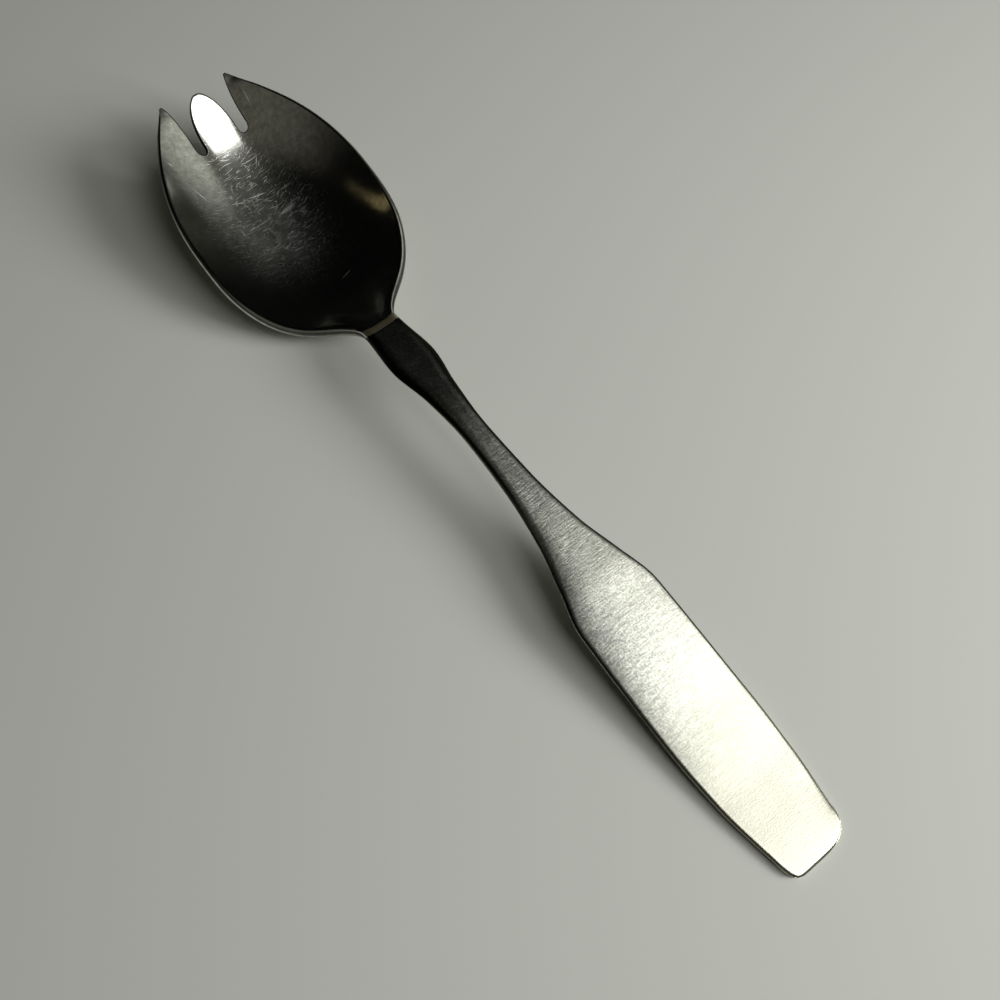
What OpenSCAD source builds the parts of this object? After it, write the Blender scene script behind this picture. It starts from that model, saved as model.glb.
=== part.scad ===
// Child's spork pressed from one sheet of stainless steel.
// X runs from the blunt end of the handle to the tine tips, Y runs across, and Z is up from the table.
// The pressing is drawn as its zones, which meet face to face: handle, neck, bowl and three tines.
// Every zone is the same sheet: a middle surface, given by a plan outline, a rim line and a keel line,
// with the sheet's thickness laid half above it and half below it.

/* [Handle] */
// Length of the handle blade, from its blunt end to the start of the neck
handle_len = 51.9; // [46:0.1:70]
// Width of the blade at its widest place
blade_w = 13.6; // [13:0.1:18]
// Distance of the widest place from the blunt end
blade_at = 20.9; // [12:0.1:30]
// Width of the blade where the rounded end begins
end_w = 10.7; // [8:0.1:11.5]
// Length of the rounded end
end_len = 3.9; // [2:0.1:8]
// Squareness of the rounded end, where 2 is a plain ellipse
end_square = 3; // [2:0.1:4]
// Width of the flat in the middle of the blunt end
end_flat = 2.4; // [1:0.1:5]
// Width of the blade half way from the rounded end to the widest place
flank_w = 12.9; // [11.6:0.1:13.2]
// Width of the blade at its shoulders
shoulder_w = 13.1; // [11:0.1:17]
// Distance from the shoulders to the start of the neck
shoulder_run = 13; // [9:0.1:16]
// Width half way down the shoulders
taper_w = 10; // [8:0.1:10.8]
// Thickness of the blade
handle_t = 1.7; // [1:0.1:2.5]
// Rounding of the blade's edges, measured in from the edge
handle_edge = 0.45; // [0.2:0.05:0.8]
// Length of the flat under the blunt end, on which the handle lies
rest_len = 11; // [8:0.1:18]
// Height of the blade's middle at the shoulders
shoulder_z = 4.8; // [2:0.1:8]

/* [Neck] */
// Length of the neck, from the blade to the back edge of the dish
neck_len = 40.3; // [34:0.1:60]
// Width of the neck where it leaves the blade
neck_w = 6.7; // [5.5:0.1:8]
// Width of the neck half way from the blade to the waist
stem_w = 4.5; // [4.2:0.1:5.5]
// Width of the waist, the narrowest place
waist_w = 3.9; // [3:0.1:5]
// Distance of the waist from the blade
waist_at = 18; // [12:0.1:22]
// Width of the neck half way from the waist to the collar
swell_w = 5; // [4.6:0.1:6]
// Width of the collar, behind the bowl
collar_w = 7.1; // [6.2:0.1:9]
// Distance from the collar to the back edge of the dish
collar_run = 7.8; // [5:0.1:10]
// Width of the throat, where the neck meets the bowl
throat_w = 6; // [4.5:0.1:7]
// Thickness of the neck
neck_t = 2.3; // [1.5:0.1:3]
// Rounding of the neck's edges, measured in from the edge
neck_edge = 0.9; // [0.4:0.05:1.3]
// Height of the neck's middle at its crest
crest_z = 7.85; // [6:0.05:14]
// Distance of the crest from the blade
crest_at = 25; // [20:0.1:28]
// Height of the middle of the throat
throat_z = 6.2; // [5:0.05:9]

/* [Bowl] */
// Length of the bowl, from the back edge of the dish to the slot roots
bowl_len = 41.6; // [36:0.1:50]
// Width of the bowl
bowl_w = 30; // [26:0.1:40]
// Distance of the widest place from the back edge of the dish
widest_at = 24.2; // [20:0.1:27]
// Distance behind the widest place at which the oval outline would close
back_reach = 23; // [20:0.1:26]
// Distance ahead of the tine tips at which the oval outline would close
front_reach = 6; // [4.5:0.1:12]
// Fullness of the oval behind the widest place
back_full = 3; // [2.4:0.1:4]
// Fullness of the oval ahead of the widest place
front_full = 2.2; // [1.8:0.1:3]
// Length over which the neck's sides blend into the oval
throat_blend = 5; // [2:0.1:6]
// Thickness of the bowl from its widest place to the tine tips
bowl_t = 1; // [0.7:0.05:1.5]
// Thickness of the bowl at the back, where its rim is lowest
back_t = 1.5; // [1:0.05:2]
// Lowest height of the rim's middle, at the back of the bowl
dip_z = 3.85; // [3:0.05:6]
// Distance of that lowest place from the back edge of the dish
dip_at = 7.4; // [5:0.1:10]
// Height of the rim's middle half way from there to the widest place
back_rim_z = 6; // [5:0.05:8]
// Height of the rim's middle at the widest place
rim_z = 8; // [7:0.05:11]
// Height of the rim's middle beside the slot roots
root_z = 11.5; // [8.5:0.05:16]
// Height of the tine tips' middle
tip_z = 12.3; // [9:0.05:18]
// Distance of the bottom of the dish from its back edge
bottom_at = 16.2; // [12:0.1:20]
// Fullness of the dish behind its bottom, along the keel
keel_back_full = 2.2; // [1.6:0.1:3]
// Fullness of the dish ahead of its bottom, along the keel
keel_front_full = 2.8; // [2:0.1:3.5]
// Fullness of the dish across its width
dish_full = 2.2; // [1.8:0.1:3]

/* [Tines] */
// Length of the outer tines, from the slot roots to their tips
tine_len = 7.1; // [4:0.1:9]
// How far the middle tine stops short of the outer ones
tine_setback = 0.5; // [0:0.1:2]
// Width of each slot at its round root
slot_w = 1.6; // [1:0.1:2.4]
// Distance between the middle lines of the two slots
slot_apart = 7.7; // [6.5:0.1:9]
// Squareness of the middle tine's tip, where 2 is a plain ellipse
tine_square = 2.2; // [1.8:0.1:3]
// Fullness of the flare of an outer tine's inner edge
flare_full = 3; // [2:0.1:4]
// Width of an outer tine's blunt tip
tip_w = 0.4; // [0.3:0.05:0.8]
// Rounding of the slot edges, measured in from the edge
slot_edge = 0.35; // [0.2:0.05:0.45]

/* [Hidden] */
STEEL = [0.74, 0.73, 0.7];
// Places along the spork, measured from the blunt end
shoulder_x = handle_len - shoulder_run;
waist_x = handle_len + waist_at;
crest_x = handle_len + crest_at;
back_x = handle_len + neck_len;
collar_x = back_x - collar_run;
dip_x = back_x + dip_at;
bottom_x = back_x + bottom_at;
widest_x = back_x + widest_at;
root_x = back_x + bowl_len;
tip_x = root_x + tine_len;
middle_tip_x = tip_x - tine_setback;
front_len = tip_x + front_reach - widest_x;
slot_y = slot_apart/2;
slot_r = slot_w/2;
// Faces: steps round an edge, and across and along each zone
EDGE_STEPS = 3;
FLAT_STEPS = 4;
DISH_STEPS = 20;
TINE_STEPS = 6;
HANDLE_ROWS = 22;
END_ROWS = 8;
NECK_ROWS = 26;
BOWL_ROWS = 28;
TINE_ROWS = 12;
// Thinnest share of the sheet that is left at a rounded end, the largest share of a strip's width
// that one rounded edge may take, and the step for measuring a slope
NOSE_SHARE = 0.3;
EDGE_SHARE = 0.45;
PROBE = 0.01;

// Half widths of the handle and neck, then heights of the rim line, then thicknesses and edge roundings
plan_knots = [
    [end_len, end_w/2],
    [(end_len + blade_at)/2, flank_w/2],
    [blade_at, blade_w/2],
    [shoulder_x, shoulder_w/2],
    [shoulder_x + shoulder_run/2, taper_w/2],
    [handle_len, neck_w/2],
    [(handle_len + waist_x)/2, stem_w/2],
    [waist_x, waist_w/2],
    [(waist_x + collar_x)/2, swell_w/2],
    [collar_x, collar_w/2],
    [back_x, throat_w/2],
    [dip_x, throat_w/2]
];
rim_knots = [
    [0, handle_t/2],
    [rest_len, handle_t/2],
    [shoulder_x, shoulder_z],
    [crest_x, crest_z],
    [back_x, throat_z],
    [dip_x, dip_z],
    [(dip_x + widest_x)/2, back_rim_z],
    [widest_x, rim_z],
    [root_x, root_z],
    [tip_x, tip_z]
];
sheet_knots = [
    [0, handle_t],
    [shoulder_x, handle_t],
    [waist_x, neck_t],
    [collar_x, neck_t],
    [dip_x, back_t],
    [widest_x, bowl_t],
    [tip_x, bowl_t]
];
edge_knots = [
    [0, handle_edge],
    [shoulder_x, handle_edge],
    [waist_x, neck_edge],
    [collar_x, neck_edge],
    [dip_x, back_t/2],
    [widest_x, bowl_t/2],
    [tip_x, bowl_t/2]
];
// Height of the sheet's middle at the bottom of the dish, where its underside touches the table
bottom_z = curve(sheet_knots, bottom_x)/2;

// Smooth curve through knots of [x, value]: a cubic in each span that never overshoots its knots
function rate(knots, i) = (knots[i + 1][1] - knots[i][1])/(knots[i + 1][0] - knots[i][0]);
function slope(knots, i) =
    i == 0 ? rate(knots, 0)
    : i == len(knots) - 1 ? rate(knots, i - 1)
    : let (before = rate(knots, i - 1), after = rate(knots, i))
        before*after <= 0 ? 0 : 2*before*after/(before + after);
function span(knots, x, i = 0) = i >= len(knots) - 2 || x <= knots[i + 1][0] ? i : span(knots, x, i + 1);
function curve(knots, x) =
    let (
        i = span(knots, x),
        run = knots[i + 1][0] - knots[i][0],
        u = (x - knots[i][0])/run,
        rise = knots[i + 1][1] - knots[i][1]
    )
    knots[i][1] + rise*u*u*(3 - 2*u) + run*u*(1 - u)*(slope(knots, i)*(1 - u) - slope(knots, i + 1)*u);

// The larger of two values, blended where they come within k of each other
function soft_max(a, b, k) =
    let (h = min(1, max(0, 0.5 + (a - b)/(2*k))))
    b + (a - b)*h + k*h*(1 - h);

// Plan outline: a squared-off end, a curve down the handle and neck, and an oval bowl
function end_half(x) = end_w/2*pow(1 - pow(1 - x/end_len, end_square), 1/end_square);
function oval_half(x) =
    let (d = x - widest_x)
    bowl_w/2*(1 - (d < 0 ? pow(-d/back_reach, back_full) : pow(d/front_len, front_full)));
function half_width(x) =
    x < end_len ? max(end_flat/2, end_half(x))
    : x < collar_x ? curve(plan_knots, x)
    : soft_max(curve(plan_knots, min(x, dip_x)), oval_half(x), throat_blend);

// Height of the middle surface: the rim line at the edge, the keel line in the middle
function rim(x) = curve(rim_knots, x);
function keel(x) =
    x <= back_x ? rim(x)
    : x < bottom_x ? bottom_z + (throat_z - bottom_z)*pow((bottom_x - x)/(bottom_x - back_x), keel_back_full)
    : bottom_z + (tip_z - bottom_z)*pow((x - bottom_x)/(middle_tip_x - bottom_x), keel_front_full);
function middle(x, y) = keel(x) + (rim(x) - keel(x))*pow(abs(y)/half_width(x), dish_full);

// Rounding of the sheet towards an end that lies a distance d away
function nose(d, r) = d >= r ? 1 : max(NOSE_SHARE, sqrt(1 - pow(1 - max(0, d)/r, 2)));

// One point of the skin: share is +1 on the top face, -1 on the underside and 0 at the edge
function skin_point(x, y, share, sheet) =
    let (
        across = (middle(x, y + PROBE) - middle(x, y - PROBE))/(2*PROBE),
        along = (middle(x + PROBE, y) - middle(x - PROBE, y))/(2*PROBE),
        steep = sqrt(1 + across*across),
        lift = share*sheet/2*sqrt(1 + pow(along/steep, 2))
    )
    [x - tip_x/2, y - lift*across/steep, middle(x, y) + lift/steep];

// One closed ring of the skin between the edges lo and hi at x, starting from the edge lo
function top_row(lo, hi, r_lo, r_hi, steps) = concat(
    [for (i = [0:EDGE_STEPS - 1]) let (a = 90*i/EDGE_STEPS) [lo + r_lo*(1 - sin(90 - a)), sin(a)]],
    [for (i = [0:steps]) [lo + r_lo + (hi - r_hi - lo - r_lo)*i/steps, 1]],
    [for (i = [EDGE_STEPS - 1:-1:0]) let (a = 90*i/EDGE_STEPS) [hi - r_hi*(1 - sin(90 - a)), sin(a)]]
);
function ring(x, lo, hi, r_lo, r_hi, steps, sheet) =
    let (
        limit = EDGE_SHARE*(hi - lo),
        row = top_row(lo, hi, min(r_lo, limit), min(r_hi, limit), steps)
    )
    concat(
        [for (p = row) skin_point(x, p[0], p[1], sheet)],
        [for (k = [len(row) - 2:-1:1]) skin_point(x, row[k][0], -row[k][1], sheet)]
    );
function full_ring(x, steps) =
    let (w = half_width(x), r = curve(edge_knots, x))
    ring(x, -w, w, r, r, steps, curve(sheet_knots, x)*nose(x, handle_edge));

// Solid through a list of rings that all have the same even number of points
module loft(rings) {
    n = len(rings[0]);
    last = (len(rings) - 1)*n;
    skin = [
        for (i = [0:len(rings) - 2], j = [0:n - 1])
            let (a = i*n + j, b = i*n + (j + 1)%n)
            each [[a, b, b + n], [a, b + n, a + n]]
    ];
    ladder = [
        for (k = [0:n/2 - 1])
            each concat(
                k < n/2 - 1 ? [[k, n - k - 1, k + 1]] : [],
                k > 0 ? [[k, n - k, n - k - 1]] : []
            )
    ];
    first_cap = ladder;
    last_cap = [for (f = ladder) [last + f[0], last + f[2], last + f[1]]];
    polyhedron([for (r = rings) each r], concat(skin, first_cap, last_cap));
}

// Rows from a to b, even or drawn together towards both ends
function even_rows(a, b, n) = [for (i = [0:n]) a + (b - a)*i/n];
function eased_rows(a, b, n) = [for (i = [0:n]) a + (b - a)*(1 - cos(180*i/n))/2];

module handle() {
    end_rows = [for (i = [0:END_ROWS]) end_len*(1 - cos(90*i/END_ROWS))];
    blade_rows = [for (i = [1:HANDLE_ROWS]) end_len + (handle_len - end_len)*i/HANDLE_ROWS];
    color(STEEL)
        loft([for (x = concat(end_rows, blade_rows)) full_ring(x, FLAT_STEPS)]);
}

module neck() {
    color(STEEL)
        loft([for (x = even_rows(handle_len, back_x, NECK_ROWS)) full_ring(x, FLAT_STEPS)]);
}

module bowl() {
    color(STEEL)
        loft([for (x = even_rows(back_x, root_x, BOWL_ROWS)) full_ring(x, DISH_STEPS)]);
}

// Half the slot's width a distance d ahead of its round root
function slot_half(d) = d < slot_r ? sqrt(slot_r*slot_r - pow(slot_r - d, 2)) : slot_r;
// Half width of the middle tine: round the slot roots, then a squared-off ellipse to its tip
function middle_half(x) =
    let (
        d = x - root_x,
        u = (d - slot_r)/(middle_tip_x - root_x - slot_r)
    )
    d < slot_r ? slot_y - slot_half(d) : max(tip_w/2, (slot_y - slot_r)*sqrt(1 - pow(u, tine_square)));
// Inner edge of an outer tine: round the slot root, then flaring out to the tip
function inner_edge(x) =
    let (
        d = x - root_x,
        straight = slot_y + slot_r,
        flare = half_width(tip_x) - tip_w - straight
    )
    d < slot_r ? slot_y + slot_half(d) : straight + flare*pow((d - slot_r)/(tine_len - slot_r), flare_full);

module outer_tine() {
    rows = eased_rows(root_x, tip_x, TINE_ROWS);
    color(STEEL)
        loft([
            for (x = rows)
                let (sheet = bowl_t*nose(tip_x - x, bowl_t/2))
                ring(x, inner_edge(x), half_width(x), slot_edge, bowl_t/2, TINE_STEPS, sheet)
        ]);
}

module left_tine() {
    outer_tine();
}

module middle_tine() {
    rows = eased_rows(root_x, middle_tip_x, TINE_ROWS);
    color(STEEL)
        loft([
            for (x = rows)
                let (w = middle_half(x), sheet = bowl_t*nose(middle_tip_x - x, bowl_t/2))
                ring(x, -w, w, slot_edge, slot_edge, TINE_STEPS, sheet)
        ]);
}

module right_tine() {
    mirror([0, 1, 0])
        outer_tine();
}

handle();
neck();
bowl();
left_tine();
middle_tine();
right_tine();
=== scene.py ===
# %% [markdown]
# # A child's spork, pressed from one sheet of steel
#
# The real object is a single blank of stainless sheet. A press raises the neck, sinks the bowl and cuts the
# two slots, a tumbler rounds every edge, and the faces are then polished or left satin. So the visual piece
# is one closed surface with no seams. It stands for the six zones of the imported model.
#
# The first cell loads that model as a fixed frame, and keeps its boxes for the sizes of the sheet.

# %% Load the frame
import math

import bpy
import numpy as np
from mathutils import Matrix, Vector


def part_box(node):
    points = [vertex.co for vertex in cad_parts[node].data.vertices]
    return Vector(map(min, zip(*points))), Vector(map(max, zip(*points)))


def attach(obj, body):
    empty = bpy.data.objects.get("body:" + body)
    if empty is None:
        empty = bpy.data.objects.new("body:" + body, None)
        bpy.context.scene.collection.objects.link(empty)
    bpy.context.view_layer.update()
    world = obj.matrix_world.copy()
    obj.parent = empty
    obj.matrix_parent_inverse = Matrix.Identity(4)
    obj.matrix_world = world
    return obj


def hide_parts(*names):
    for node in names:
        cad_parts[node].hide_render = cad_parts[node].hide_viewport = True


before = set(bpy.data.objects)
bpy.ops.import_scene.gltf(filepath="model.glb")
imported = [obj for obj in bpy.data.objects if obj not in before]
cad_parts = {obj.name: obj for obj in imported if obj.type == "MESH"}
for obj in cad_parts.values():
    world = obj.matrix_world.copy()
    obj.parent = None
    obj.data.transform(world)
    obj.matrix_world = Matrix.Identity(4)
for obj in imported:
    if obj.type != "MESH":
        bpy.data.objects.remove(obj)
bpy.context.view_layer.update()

MM = 0.001

# %% [markdown]
# ## The camera
#
# The picture was taken from close by, over the handle and a little to the left of it. A wide lens this near
# makes the handle look larger than the bowl, so the place matters as much as the angle. The camera is
# written as a place and a look direction in millimetres. Its lens is as long as its sensor is wide.

# %% Camera
CAMERA_PLACE = Vector((-50.53, 34.85, 131.03))
CAMERA_LOOK = Vector((0.29817, -0.23452, -0.92525))
SENSOR_MM = 36.0
LENS_MM = 36.0
# Nothing nearer or farther than this is drawn, in metres
NEAREST, FARTHEST = 0.005, 50.0


def place_camera():
    """Camera with the horizontal as its picture's x axis: right = look x up, and top = right x look."""
    data = bpy.data.cameras.new("camera")
    data.sensor_width = SENSOR_MM
    data.lens = LENS_MM
    data.clip_start = NEAREST
    data.clip_end = FARTHEST
    camera = bpy.data.objects.new("camera", data)
    bpy.context.scene.collection.objects.link(camera)
    look = CAMERA_LOOK.normalized()
    right = look.cross(Vector((0, 0, 1))).normalized()
    top = right.cross(look)
    turn = Matrix((right, top, -look)).transposed()
    camera.matrix_world = Matrix.Translation(CAMERA_PLACE * MM) @ turn.to_4x4()
    bpy.context.scene.camera = camera
    return camera


camera = place_camera()
look_down = math.degrees(math.asin(-CAMERA_LOOK.normalized().z))
print(camera.name, "looks down by", round(look_down, 1), "degrees")

# %% [markdown]
# ## Sizes of the sheet
#
# Everything is worked out in millimetres, measured from the blunt end of the handle. The long places come
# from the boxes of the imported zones, so the surface lies where the solids lie. The other values are the
# widths, heights and thicknesses that shape the curves between those places.

# %% Sizes
def span_of(node, axis):
    """Lowest and highest place of a packed zone along one axis, in millimetres."""
    low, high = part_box(node)
    return low[axis] / MM, high[axis] / MM


START_X = span_of("handle", 0)[0]
HANDLE_LEN = span_of("handle", 0)[1] - START_X
BACK_X = span_of("bowl", 0)[0] - START_X
ROOT_X = span_of("bowl", 0)[1] - START_X
TIP_X = span_of("left_tine", 0)[1] - START_X
MIDDLE_TIP_X = span_of("middle_tine", 0)[1] - START_X
BLADE_W = span_of("handle", 1)[1] * 2
COLLAR_W = span_of("neck", 1)[1] * 2

# Blunt end: length of its curve, width, squareness of its two corners, and how the left one is pinched in
END_LEN, END_W = 3.9, 10.7
END_LEFT, END_RIGHT = 9.0, 2.5
PINCH, PINCH_LEN = 0.18, 5.0
# Blade and shoulders
BLADE_AT, FLANK_W = 20.9, 12.9
SHOULDER_RUN, SHOULDER_W, TAPER_W = 13.0, 13.1, 10.0
# Neck, from its start over the waist to the collar and the throat of the bowl
NECK_W, STEM_W, WAIST_W, SWELL_W = 6.7, 4.5, 3.9, 5.0
WAIST_AT, COLLAR_RUN = 18.0, 7.8
THROAT_W, THROAT_BLEND = 6.0, 5.0
# Bowl: its widest place, and how far and how full its oval is behind and ahead of that
BOWL_W, WIDEST_AT = 30.0, 24.2
BACK_REACH, BACK_FULL = 23.0, 3.0
FRONT_REACH, FRONT_FULL = 6.0, 2.2
# Thickness of the sheet, which thins out towards the tips
HANDLE_T, NECK_T, BACK_T, BOWL_T, TIP_T = 1.7, 2.3, 1.5, 1.0, 0.72
# Reach of the rounded edge into the face, its rise as a share of that, and its power: 2 is round, 1 is flat
HANDLE_EDGE, STEM_EDGE, NECK_EDGE, COLLAR_EDGE = 0.5, 1.0, 1.35, 1.7
BACK_EDGE, RIM_EDGE, SLOT_EDGE, TIP_EDGE = 0.6, 0.24, 0.05, 0.1
EDGE_RISE = 0.7
ROUND_BEVEL, NECK_BEVEL, COLLAR_BEVEL = 2.0, 1.5, 1.25
# Heights of the middle of the sheet along the rim, from the resting end to the tips
REST_LEN, SHOULDER_Z = 11.0, 4.8
ARCH_AT, ARCH_Z = 6.1, 5.68
CREST_AT, CREST_Z = 25.0, 7.85
THROAT_Z, DIP_AT, DIP_Z = 6.2, 7.4, 3.85
BACK_RIM_Z, RIM_Z, ROOT_Z, TIP_Z = 6.0, 8.0, 11.5, 12.38
# Dish: its lowest place, and how full it is along its length and across
BOTTOM_AT, KEEL_BACK_FULL, KEEL_FRONT_FULL, DISH_FULL = 16.2, 2.2, 2.8, 2.2
# Slots and tines
SLOT_W, SLOT_APART = 1.6, 7.7
TINE_SQUARE, FLARE_FULL, TIP_W = 2.2, 3.0, 0.26

SHOULDER_X = HANDLE_LEN - SHOULDER_RUN
WAIST_X = HANDLE_LEN + WAIST_AT
COLLAR_X = BACK_X - COLLAR_RUN
DIP_X = BACK_X + DIP_AT
BOTTOM_X = BACK_X + BOTTOM_AT
WIDEST_X = BACK_X + WIDEST_AT
SLOT_Y = SLOT_APART / 2
SLOT_R = SLOT_W / 2
places = (HANDLE_LEN, BACK_X, ROOT_X, TIP_X)
print("handle, dish edge, slot roots and tips at", [round(x, 1) for x in places])

# %% [markdown]
# ## Curves along the spork
#
# A few knots describe how a width, height or thickness runs from end to end. A spline through them can
# overshoot and make a wavy edge, so the curve used here is a monotone cubic: between two knots it never
# leaves their range. Two helpers blend one curve into another without a kink, as a press tool's radius
# does.

# %% Curves
def smooth_curve(knots, x):
    """Monotone cubic through (place, value) knots.

    In each span the value follows the smoothstep 3u^2 - 2u^3, plus a part that gives the curve its slope at
    both ends. An inner knot's slope is the harmonic mean of the rates on its two sides, or 0 where those
    differ in sign.
    """
    place, value = np.array(knots, float).T
    run = np.diff(place)
    rate = np.diff(value) / run
    before, after = rate[:-1], rate[1:]
    both = np.where(before + after == 0, 1, before + after)
    inner = np.where(before * after > 0, 2 * before * after / both, 0)
    slope = np.concatenate([rate[:1], inner, rate[-1:]])
    i = np.clip(np.searchsorted(place, x) - 1, 0, len(run) - 1)
    u = (x - place[i]) / run[i]
    step = u * u * (3 - 2 * u)
    lean = run[i] * u * (1 - u) * (slope[i] * (1 - u) - slope[i + 1] * u)
    return value[i] + (value[i + 1] - value[i]) * step + lean


def soft_max(a, b, k):
    """The larger of a and b, with a parabola between them where they are within k of each other."""
    h = np.clip(0.5 + (a - b) / (2 * k), 0, 1)
    return b + (a - b) * h + k * h * (1 - h)


def soft_min(a, b, k):
    """The smaller of a and b, blended in the same way."""
    return -soft_max(-a, -b, k)


RIM_KNOTS = [
    (0, HANDLE_T / 2), (REST_LEN, HANDLE_T / 2), (SHOULDER_X, SHOULDER_Z), (SHOULDER_X + ARCH_AT, ARCH_Z),
    (HANDLE_LEN + CREST_AT, CREST_Z), (BACK_X, THROAT_Z), (DIP_X, DIP_Z),
    ((DIP_X + WIDEST_X) / 2, BACK_RIM_Z), (WIDEST_X, RIM_Z), (ROOT_X, ROOT_Z), (TIP_X, TIP_Z),
]
PLAN_KNOTS = [
    (END_LEN, END_W / 2), ((END_LEN + BLADE_AT) / 2, FLANK_W / 2), (BLADE_AT, BLADE_W / 2),
    (SHOULDER_X, SHOULDER_W / 2), (SHOULDER_X + SHOULDER_RUN / 2, TAPER_W / 2), (HANDLE_LEN, NECK_W / 2),
    ((HANDLE_LEN + WAIST_X) / 2, STEM_W / 2), (WAIST_X, WAIST_W / 2), ((WAIST_X + COLLAR_X) / 2, SWELL_W / 2),
    (COLLAR_X, COLLAR_W / 2), (BACK_X, THROAT_W / 2), (DIP_X, THROAT_W / 2),
]
SHEET_KNOTS = [
    (0, HANDLE_T), (SHOULDER_X, HANDLE_T), (WAIST_X, NECK_T), (COLLAR_X, NECK_T), (DIP_X, BACK_T),
    (WIDEST_X, BOWL_T), (TIP_X, TIP_T),
]
EDGE_KNOTS = [
    (0, HANDLE_EDGE), (SHOULDER_X, HANDLE_EDGE), (HANDLE_LEN, STEM_EDGE), (WAIST_X, NECK_EDGE),
    (COLLAR_X, COLLAR_EDGE), (DIP_X, BACK_EDGE), (WIDEST_X, RIM_EDGE), (ROOT_X, RIM_EDGE), (TIP_X, TIP_EDGE),
]
BEVEL_KNOTS = [
    (0, ROUND_BEVEL), (SHOULDER_X, ROUND_BEVEL), (WAIST_X, NECK_BEVEL), (COLLAR_X, COLLAR_BEVEL),
    (DIP_X, ROUND_BEVEL), (TIP_X, ROUND_BEVEL),
]
# The underside's softer lip pulls the dish down a hair, so its bottom is drawn this much higher
BOTTOM_LIFT = 0.012
BOTTOM_Z = float(smooth_curve(SHEET_KNOTS, BOTTOM_X)) / 2 + BOTTOM_LIFT
print("middle of the sheet lies", round(BOTTOM_Z, 3), "mm up at the bottom of the dish")

# %% [markdown]
# ## The plan outline
#
# Seen from above the blank has a squared-off end, a blade with shoulders, a waist, a collar and an oval
# bowl. The end is a superellipse, squarer on the left, where it is also pinched in: that corner was ground
# off less round than the right one. The sides are a smooth curve, and the bowl is an oval with its own
# fullness behind and ahead of its widest place. The bowl and the neck run into each other through the soft
# maximum.

# %% Outline
# The visual edge is drawn this far inside the solids' outline, the steep rim of the bowl that much further,
# and the tips this far back, so that the round edges stay in the solids' box
INSET, RIM_INSET, TIP_INSET = 0.06, 0.11, 0.1


def end_half(y):
    """Half width of the blunt end on the side of y."""
    return END_W / 2 * np.where(y > 0, 1 - PINCH, 1)


def end_reach(y):
    """Place of the blunt end's curve at y: the superellipse x = L - L(1 - |y/b|^n)^(1/n)."""
    n = np.where(y > 0, END_LEFT, END_RIGHT)
    share = np.clip(np.abs(y) / end_half(y), 0, 1)
    return END_LEN * (1 - (1 - share ** n) ** (1 / n))


def half_width(x, y=-1.0):
    """Half the plan width at x: end superellipse, then side curve, then the soft maximum of neck and oval.

    On the left, where y > 0, the last few millimetres are pinched in by a parabola.
    """
    n = np.where(y > 0, END_LEFT, END_RIGHT)
    left = 1 - np.clip(x / END_LEN, 0, 1)
    end = END_W / 2 * (1 - left ** n) ** (1 / n)
    pinch = np.where(y > 0, PINCH, 0) * (1 - np.clip(x / PINCH_LEN, 0, 1)) ** 2
    stem = smooth_curve(PLAN_KNOTS, np.clip(x, END_LEN, DIP_X))
    d = x - WIDEST_X
    front_len = TIP_X + FRONT_REACH - WIDEST_X
    back = (np.abs(d) / BACK_REACH) ** BACK_FULL
    front = (np.abs(d) / front_len) ** FRONT_FULL
    oval = BOWL_W / 2 * (1 - np.where(d < 0, back, front)) - RIM_INSET
    body = np.where(x < COLLAR_X, stem, soft_max(stem, oval, THROAT_BLEND))
    return np.where(x < END_LEN, end, body) * (1 - pinch) - INSET


def slot_half(d):
    """Half a slot's width a distance d ahead of its round root."""
    return np.sqrt(np.clip(SLOT_R ** 2 - np.clip(SLOT_R - d, 0, SLOT_R) ** 2, 0, None))


def middle_half(x):
    """Half width of the middle tine: round the slot roots, then a squared-off ellipse to its tip."""
    d = x - ROOT_X
    u = np.clip((d - SLOT_R) / (MIDDLE_TIP_X - TIP_INSET - ROOT_X - SLOT_R), 0, 1)
    ellipse = (SLOT_Y - SLOT_R) * np.sqrt(1 - u ** TINE_SQUARE)
    return np.where(d < SLOT_R, SLOT_Y - slot_half(d), np.maximum(TIP_W / 2, ellipse))


def inner_edge(x):
    """Inner edge of an outer tine: round the slot root, then flaring out to the tip."""
    d = x - ROOT_X
    straight = SLOT_Y + SLOT_R
    flare = half_width(TIP_X) - TIP_W - straight
    u = np.clip((d - SLOT_R) / (TIP_X - ROOT_X - SLOT_R), 0, 1)
    return np.where(d < SLOT_R, SLOT_Y + slot_half(d), straight + flare * u ** FLARE_FULL)


print("half widths at blade, waist, bowl and tips:",
      [round(float(half_width(x)), 2) for x in (BLADE_AT, WAIST_X, WIDEST_X, TIP_X)])

# %% [markdown]
# ## The pressed surface
#
# The middle of the sheet is a height over the plan. Along the edge it follows the rim line, and along the
# centre it follows the keel, which drops from the neck into the dish over a crisp curved lip. Between them
# the height follows a power of the distance from the centre, which makes a dish with a flat floor and steep
# sides. The lip runs straight across the throat and turns forward at both sides to meet the rim. It is
# sharp on the upper face and soft underneath, as a punch leaves it, so the two faces get their own blend
# there. The blade's upper face is not quite flat. It falls away towards its sides, most of all at the
# shoulders, swells a little along its middle and thins to the blunt end: a few tenths of a millimetre, but
# they steer the light across the whole blade. The outer tines are turned a little about their own length,
# as bent tines are.

# %% Pressed surface
# Lip of the dish: its straight part, where its turn ends, how softly it turns, how far ahead it fades out,
# and its blend on each face
LIP_FLAT, LIP_SIDE, LIP_TURN = 2.1, 4.6, 0.9
LIP_FADE = 14.0
LIP_BLEND_TOP, LIP_BLEND_UNDER = 0.42, 1.6
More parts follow.
